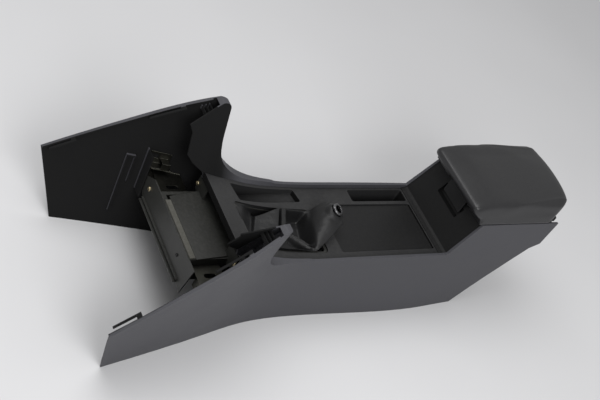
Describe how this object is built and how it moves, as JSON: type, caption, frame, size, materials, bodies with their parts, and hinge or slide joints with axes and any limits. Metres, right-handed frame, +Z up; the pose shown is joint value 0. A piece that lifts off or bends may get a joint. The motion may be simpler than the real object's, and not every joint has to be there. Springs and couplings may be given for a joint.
{
  "type": "car centre console",
  "caption": "Floor console for a car: flared side panels, deck with pockets and a lever gaiter, storage bin under a hinged armrest lid.",
  "frame": {"origin": "middle of the footprint, on the floor plane", "axes": "+X to the rear of the car, +Y to its right side, +Z up"},
  "size_m": [1.12, 0.4484, 0.363],
  "materials": {
    "shell_plastic": "fine-grained matte",
    "deck_plastic": "satin",
    "bin_plastic": "satin",
    "carrier_plastic": "satin",
    "gaiter_leather": "soft, glossy folds",
    "armrest_skin": "fine-grained padded vinyl",
    "rubber_mat": "matte",
    "chrome_trim": "polished",
    "felt_strip": "matte felt",
    "zinc_steel": "zinc plated",
    "dark_steel": "black coated",
    "brass_plate": "yellow passivated"
  },
  "bodies": {
    "console": {"side_panel_right": "shell_plastic", "side_panel_left": "shell_plastic", "deck_panel": "deck_plastic", "tray_insert": "deck_plastic", "deck_screws": "dark_steel", "gaiter_frame": "deck_plastic", "gaiter": "gaiter_leather", "collar_ring": "chrome_trim", "storage_bin": "bin_plastic", "bin_mat": "rubber_mat", "lid_bumpers": "rubber_mat", "rear_cover": "deck_plastic", "hinge_bracket": "zinc_steel", "hinge_pin": "zinc_steel", "bracket_screws": "dark_steel", "front_carrier": "carrier_plastic", "carrier_top_plate": "carrier_plastic", "carrier_strip": "felt_strip", "cross_plate": "carrier_plastic", "bracket_right": "zinc_steel", "bracket_left": "zinc_steel", "catch_right": "zinc_steel", "catch_left": "zinc_steel", "brass_screws": "brass_plate", "plate_screw": "dark_steel"},
    "lid": {"armrest_pad": "armrest_skin", "lid_base": "bin_plastic", "hinge_leaf": "zinc_steel", "latch_pin": "zinc_steel", "leaf_screws": "dark_steel"},
    "latch": {"latch_lever": "bin_plastic"}
  },
  "joints": [
    {"name": "lid_hinge", "type": "hinge", "parent": "console", "child": "lid", "pos_m": [0.551, 0, 0.282], "axis": [0, 1, 0], "range_deg": [0, 95]},
    {"name": "latch_pivot", "type": "hinge", "parent": "lid", "child": "latch", "pos_m": [0.311, 0, 0.2865], "axis": [0, 1, 0], "range_deg": [0, 15], "stiffness_Nm_per_rad": 0.2}
  ]
}
